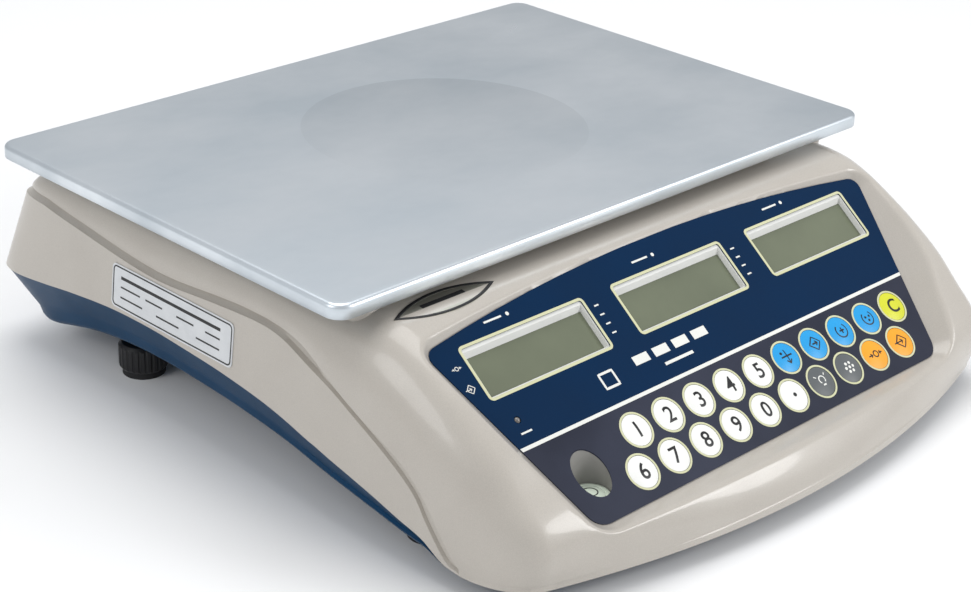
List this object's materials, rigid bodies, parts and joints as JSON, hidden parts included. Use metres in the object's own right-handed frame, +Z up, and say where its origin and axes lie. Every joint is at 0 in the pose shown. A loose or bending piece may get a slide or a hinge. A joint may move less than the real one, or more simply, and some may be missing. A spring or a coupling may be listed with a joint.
{
  "type": "counting scale",
  "caption": "Bench counting scale: steel pan on a load cell, sloping key and display panel, grey housing over a blue arched base on levelling feet.",
  "frame": {"origin": "middle of the body's footprint, on the standing surface under the feet's soles", "axes": "+Z up; -Y to the front, where the operator stands; +Y to the rear wall; +X to the operator's right"},
  "size_m": [0.34, 0.367, 0.105],
  "materials": {
    "housing": "satin",
    "base": "satin",
    "pan": "brushed",
    "cast": "satin",
    "cell": "satin",
    "zinc": "satin",
    "screw": "satin",
    "bolt": "satin",
    "pad": "matte",
    "overlay_navy": "satin",
    "overlay_slate": "satin",
    "print_white": "satin",
    "print_cream": "satin",
    "white": "matte",
    "glass": "gloss",
    "pcb": "satin",
    "lamp": "gloss",
    "vial": "gloss",
    "plate": "satin",
    "label": "satin",
    "battery": "matte",
    "black": "matte",
    "key_white": "matte",
    "key_blue": "matte",
    "key_lime": "matte",
    "key_grey": "matte",
    "key_orange": "matte"
  },
  "bodies": {
    "base": {"upper_housing": "housing", "lower_housing": "base", "cell_screws": "bolt", "chassis_plate": "zinc", "display_overlay": "overlay_navy", "keypad_overlay": "overlay_slate", "overlay_stripe": "print_white", "key_rings": "print_cream", "window_trims": "print_cream", "display_wells": "white", "display_board": "pcb", "charge_lamp": "lamp", "level_well": "white", "level_vial": "vial", "badge_plate": "plate", "rating_label": "label", "main_board": "pcb", "battery": "battery", "battery_door": "base", "case_screws": "screw", "switch_frame": "black", "dc_inlet": "black", "left_display": "glass", "middle_display": "glass", "right_display": "glass", "keypad_board": "pcb"},
    "platform": {"platform_spider": "cast", "pan_pads": "pad", "platform_screws": "bolt", "load_cell": "cell"},
    "pan": {"weighing_pan": "pan"},
    "rocker": {"power_rocker": "black"},
    "key_1": {"key_1": "key_white"},
    "key_2": {"key_2": "key_white"},
    "key_3": {"key_3": "key_white"},
    "key_4": {"key_4": "key_white"},
    "key_5": {"key_5": "key_white"},
    "key_pieces": {"key_pieces": "key_blue"},
    "key_unit_weight": {"key_unit_weight": "key_blue"},
    "key_memory_add": {"key_memory_add": "key_blue"},
    "key_memory_check": {"key_memory_check": "key_blue"},
    "key_clear": {"key_clear": "key_lime"},
    "key_6": {"key_6": "key_white"},
    "key_7": {"key_7": "key_white"},
    "key_8": {"key_8": "key_white"},
    "key_9": {"key_9": "key_white"},
    "key_0": {"key_0": "key_white"},
    "key_point": {"key_point": "key_white"},
    "key_light": {"key_light": "key_grey"},
    "key_sample": {"key_sample": "key_grey"},
    "key_zero": {"key_zero": "key_orange"},
    "key_tare": {"key_tare": "key_orange"},
    "sole_front_left": {"sole_front_left": "pad"},
    "knob_front_left": {"knob_front_left": "black"},
    "sole_front_right": {"sole_front_right": "pad"},
    "knob_front_right": {"knob_front_right": "black"},
    "sole_rear_left": {"sole_rear_left": "pad"},
    "knob_rear_left": {"knob_rear_left": "black"},
    "sole_rear_right": {"sole_rear_right": "pad"},
    "knob_rear_right": {"knob_rear_right": "black"}
  },
  "joints": [
    {"name": "platform_load", "type": "slide", "parent": "base", "child": "platform", "axis": [0, 0, 1], "range_m": [-0.0004, 0], "stiffness_N_per_m": 500000, "springref_m": 0.00004, "deforming": ["load_cell"]},
    {"name": "pan_lift", "type": "slide", "parent": "platform", "child": "pan", "axis": [0, 0, 1], "range_m": [0, 0.06]},
    {"name": "key_1_press", "type": "slide", "parent": "base", "child": "key_1", "axis": [0, 0.617, -0.7869], "range_m": [0, 0.0005], "stiffness_N_per_m": 1000, "springref_m": -0.0002},
    {"name": "key_2_press", "type": "slide", "parent": "base", "child": "key_2", "axis": [0, 0.617, -0.7869], "range_m": [0, 0.0005], "stiffness_N_per_m": 1000, "springref_m": -0.0002},
    {"name": "key_3_press", "type": "slide", "parent": "base", "child": "key_3", "axis": [0, 0.617, -0.7869], "range_m": [0, 0.0005], "stiffness_N_per_m": 1000, "springref_m": -0.0002},
    {"name": "key_4_press", "type": "slide", "parent": "base", "child": "key_4", "axis": [0, 0.617, -0.7869], "range_m": [0, 0.0005], "stiffness_N_per_m": 1000, "springref_m": -0.0002},
    {"name": "key_5_press", "type": "slide", "parent": "base", "child": "key_5", "axis": [0, 0.617, -0.7869], "range_m": [0, 0.0005], "stiffness_N_per_m": 1000, "springref_m": -0.0002},
    {"name": "key_pieces_press", "type": "slide", "parent": "base", "child": "key_pieces", "axis": [0, 0.617, -0.7869], "range_m": [0, 0.0005], "stiffness_N_per_m": 1000, "springref_m": -0.0002},
    {"name": "key_unit_weight_press", "type": "slide", "parent": "base", "child": "key_unit_weight", "axis": [0, 0.617, -0.7869], "range_m": [0, 0.0005], "stiffness_N_per_m": 1000, "springref_m": -0.0002},
    {"name": "key_memory_add_press", "type": "slide", "parent": "base", "child": "key_memory_add", "axis": [0, 0.617, -0.7869], "range_m": [0, 0.0005], "stiffness_N_per_m": 1000, "springref_m": -0.0002},
    {"name": "key_memory_check_press", "type": "slide", "parent": "base", "child": "key_memory_check", "axis": [0, 0.617, -0.7869], "range_m": [0, 0.0005], "stiffness_N_per_m": 1000, "springref_m": -0.0002},
    {"name": "key_clear_press", "type": "slide", "parent": "base", "child": "key_clear", "axis": [0, 0.617, -0.7869], "range_m": [0, 0.0005], "stiffness_N_per_m": 1000, "springref_m": -0.0002},
    {"name": "key_6_press", "type": "slide", "parent": "base", "child": "key_6", "axis": [0, 0.617, -0.7869], "range_m": [0, 0.0005], "stiffness_N_per_m": 1000, "springref_m": -0.0002},
    {"name": "key_7_press", "type": "slide", "parent": "base", "child": "key_7", "axis": [0, 0.617, -0.7869], "range_m": [0, 0.0005], "stiffness_N_per_m": 1000, "springref_m": -0.0002},
    {"name": "key_8_press", "type": "slide", "parent": "base", "child": "key_8", "axis": [0, 0.617, -0.7869], "range_m": [0, 0.0005], "stiffness_N_per_m": 1000, "springref_m": -0.0002},
    {"name": "key_9_press", "type": "slide", "parent": "base", "child": "key_9", "axis": [0, 0.617, -0.7869], "range_m": [0, 0.0005], "stiffness_N_per_m": 1000, "springref_m": -0.0002},
    {"name": "key_0_press", "type": "slide", "parent": "base", "child": "key_0", "axis": [0, 0.617, -0.7869], "range_m": [0, 0.0005], "stiffness_N_per_m": 1000, "springref_m": -0.0002},
    {"name": "key_point_press", "type": "slide", "parent": "base", "child": "key_point", "axis": [0, 0.617, -0.7869], "range_m": [0, 0.0005], "stiffness_N_per_m": 1000, "springref_m": -0.0002},
    {"name": "key_light_press", "type": "slide", "parent": "base", "child": "key_light", "axis": [0, 0.617, -0.7869], "range_m": [0, 0.0005], "stiffness_N_per_m": 1000, "springref_m": -0.0002},
    {"name": "key_sample_press", "type": "slide", "parent": "base", "child": "key_sample", "axis": [0, 0.617, -0.7869], "range_m": [0, 0.0005], "stiffness_N_per_m": 1000, "springref_m": -0.0002},
    {"name": "key_zero_press", "type": "slide", "parent": "base", "child": "key_zero", "axis": [0, 0.617, -0.7869], "range_m": [0, 0.0005], "stiffness_N_per_m": 1000, "springref_m": -0.0002},
    {"name": "key_tare_press", "type": "slide", "parent": "base", "child": "key_tare", "axis": [0, 0.617, -0.7869], "range_m": [0, 0.0005], "stiffness_N_per_m": 1000, "springref_m": -0.0002},
    {"name": "front_left_foot_height", "type": "slide", "parent": "base", "child": "sole_front_left", "axis": [0, 0, 1], "range_m": [-0.005, 0.0025]},
    {"name": "front_left_foot_turn", "type": "hinge", "parent": "sole_front_left", "child": "knob_front_left", "pos_m": [-0.137, -0.0885, 0.01], "axis": [0, 0, 1], "range_deg": [-1442, 722]},
    {"name": "front_right_foot_height", "type": "slide", "parent": "base", "child": "sole_front_right", "axis": [0, 0, 1], "range_m": [-0.005, 0.0025]},
    {"name": "front_right_foot_turn", "type": "hinge", "parent": "sole_front_right", "child": "knob_front_right", "pos_m": [0.137, -0.0885, 0.01], "axis": [0, 0, 1], "range_deg": [-1442, 722]},
    {"name": "rear_left_foot_height", "type": "slide", "parent": "base", "child": "sole_rear_left", "axis": [0, 0, 1], "range_m": [-0.005, 0.0025]},
    {"name": "rear_left_foot_turn", "type": "hinge", "parent": "sole_rear_left", "child": "knob_rear_left", "pos_m": [-0.137, 0.1065, 0.01], "axis": [0, 0, 1], "range_deg": [-1442, 722]},
    {"name": "rear_right_foot_height", "type": "slide", "parent": "base", "child": "sole_rear_right", "axis": [0, 0, 1], "range_m": [-0.005, 0.0025]},
    {"name": "rear_right_foot_turn", "type": "hinge", "parent": "sole_rear_right", "child": "knob_rear_right", "pos_m": [0.137, 0.1065, 0.01], "axis": [0, 0, 1], "range_deg": [-1442, 722]},
    {"name": "power_rocker_swing", "type": "hinge", "parent": "base", "child": "rocker", "pos_m": [0.096, 0.17383, 0.05964], "axis": [1, 0, 0], "range_deg": [0, 20]}
  ],
  "couplings": [
    {"joint": "front_left_foot_turn", "follows": "front_left_foot_height", "rad_per_m": 5026.5},
    {"joint": "front_right_foot_turn", "follows": "front_right_foot_height", "rad_per_m": 5026.5},
    {"joint": "rear_left_foot_turn", "follows": "rear_left_foot_height", "rad_per_m": 5026.5},
    {"joint": "rear_right_foot_turn", "follows": "rear_right_foot_height", "rad_per_m": 5026.5}
  ]
}
